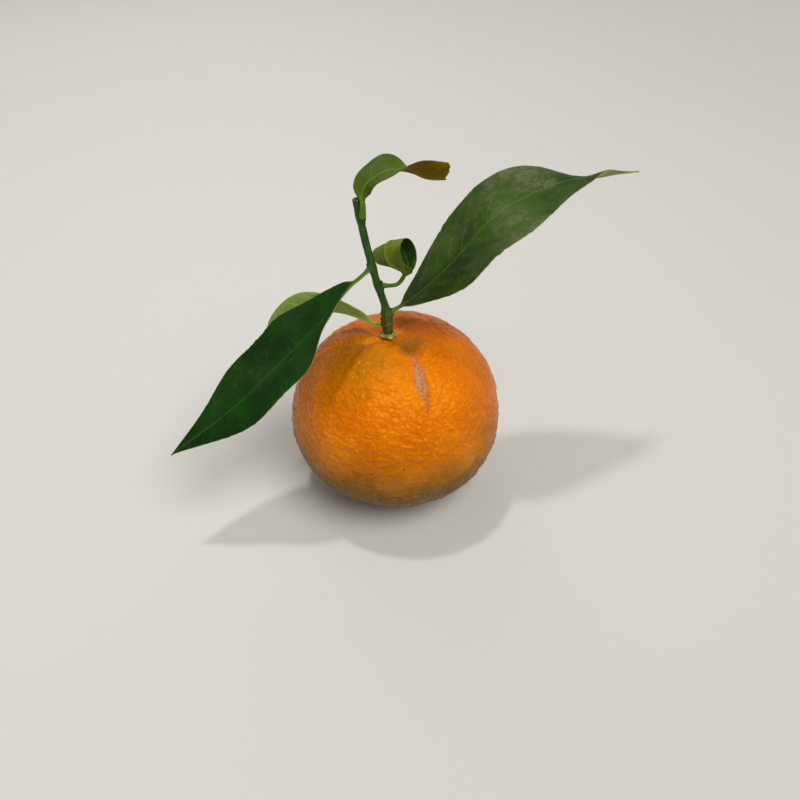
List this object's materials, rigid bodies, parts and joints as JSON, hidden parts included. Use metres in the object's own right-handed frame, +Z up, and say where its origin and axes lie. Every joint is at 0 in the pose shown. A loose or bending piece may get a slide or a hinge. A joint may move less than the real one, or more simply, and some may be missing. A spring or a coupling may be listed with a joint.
{
  "type": "clementine with leaves",
  "caption": "Whole clementine fruit with its calyx, a cut green twig and pointed glossy leaves, resting on a small flat under the fruit.",
  "frame": {"origin": "middle of the small flat under the fruit, where it rests", "axes": "+Z up, from the resting flat towards the stem end; +X towards the tip of the largest leaf; -Y towards the viewer"},
  "size_m": [0.1249, 0.0613, 0.1064],
  "materials": {
    "rind": "satin",
    "calyx": "matte",
    "twig": "matte",
    "leaf_dark": "satin",
    "leaf_young": "satin"
  },
  "bodies": {
    "root": {"fruit": "rind", "calyx": "calyx", "stem": "twig", "leaf_right": "leaf_dark", "leaf_left": "leaf_dark", "leaf_top": "leaf_young", "leaf_curled": "leaf_young", "leaf_low": "leaf_young"}
  },
  "joints": []
}
